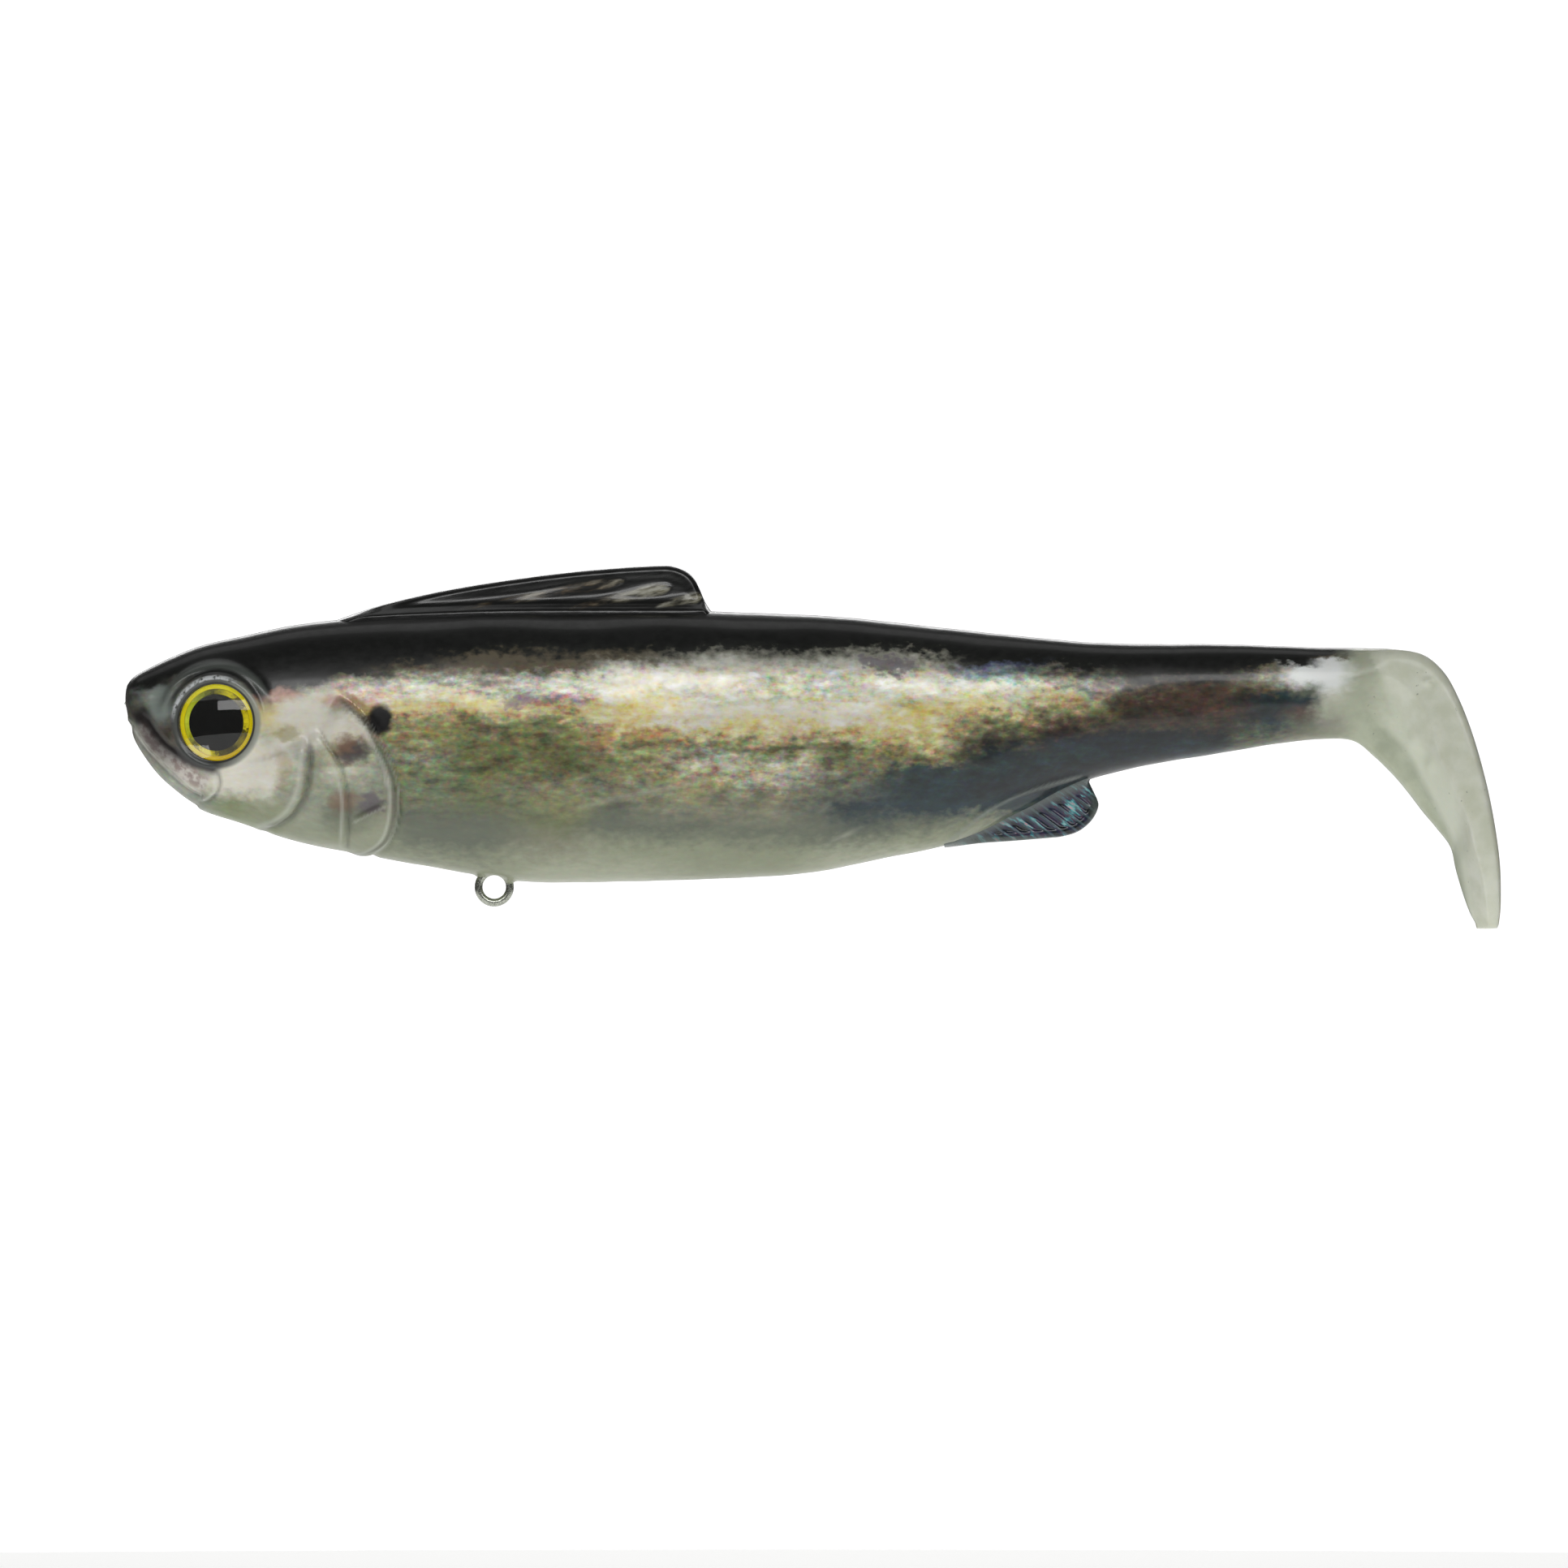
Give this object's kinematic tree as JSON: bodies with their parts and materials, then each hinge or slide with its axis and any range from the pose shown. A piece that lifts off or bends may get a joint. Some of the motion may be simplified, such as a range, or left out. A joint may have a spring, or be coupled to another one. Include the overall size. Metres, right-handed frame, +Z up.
{
  "type": "swimbait",
  "caption": "Soft paddle-tail swimbait with a flexing body, soft dorsal and anal fins, domed eyes, a line-through tube and a belly hook hanger.",
  "frame": {"origin": "mouth of the line tube at the tip of the nose, on the plane of symmetry", "axes": "+X towards the tail, +Y towards the fish's right flank, +Z up out of the back"},
  "size_m": [0.1525, 0.0172, 0.0401],
  "materials": {
    "front_casting": "glossy soft plastic, painted",
    "rear_casting": "glossy soft plastic, painted",
    "stock_casting": "glossy soft plastic, painted",
    "tail_casting": "glossy translucent soft plastic",
    "back_fin": "glossy soft plastic",
    "belly_fin": "glossy translucent soft plastic",
    "tube": "clear hard tube",
    "ballast": "dull cast lead",
    "wire": "drawn stainless wire",
    "pad": "soft adhesive",
    "foil": "faceted gold foil",
    "pupil": "gloss black print",
    "dome": "clear cast resin"
  },
  "bodies": {
    "front": {"body_front": "front_casting", "line_tube": "tube", "ballast_weight": "ballast", "hanger_wire": "wire", "eye_pad_left": "pad", "eye_foil_left": "foil", "eye_pupil_left": "pupil", "eye_dome_left": "dome", "eye_pad_right": "pad", "eye_foil_right": "foil", "eye_pupil_right": "pupil", "eye_dome_right": "dome"},
    "rear": {"rear_body": "rear_casting"},
    "stock": {"tail_stock": "stock_casting"},
    "boot": {"boot_tail": "tail_casting"},
    "back_fin": {"dorsal_fin": "back_fin"},
    "belly_fin": {"anal_fin": "belly_fin"}
  },
  "joints": [
    {"name": "rear_flex", "type": "hinge", "parent": "front", "child": "rear", "pos_m": [0.07855, 0, 0], "axis": [0, 0, 1], "range_deg": [-12, 12], "stiffness_Nm_per_rad": 0.03},
    {"name": "stock_flex", "type": "hinge", "parent": "rear", "child": "stock", "pos_m": [0.11405, 0, 0], "axis": [0, 0, 1], "range_deg": [-22, 22], "stiffness_Nm_per_rad": 0.008},
    {"name": "tail_kick", "type": "hinge", "parent": "stock", "child": "boot", "pos_m": [0.12955, 0, 0], "axis": [0, 0, 1], "range_deg": [-38, 38], "stiffness_Nm_per_rad": 0.002},
    {"name": "back_fin_fold", "type": "hinge", "parent": "front", "child": "back_fin", "pos_m": [0.02255, 0, 0.00778], "axis": [0.9997, 0, 0.0246], "range_deg": [-35, 35], "stiffness_Nm_per_rad": 0.0008},
    {"name": "belly_fin_fold", "type": "hinge", "parent": "rear", "child": "belly_fin", "pos_m": [0.09155, 0, -0.01562], "axis": [0.9054, 0, 0.4245], "range_deg": [-35, 35], "stiffness_Nm_per_rad": 0.0004}
  ]
}
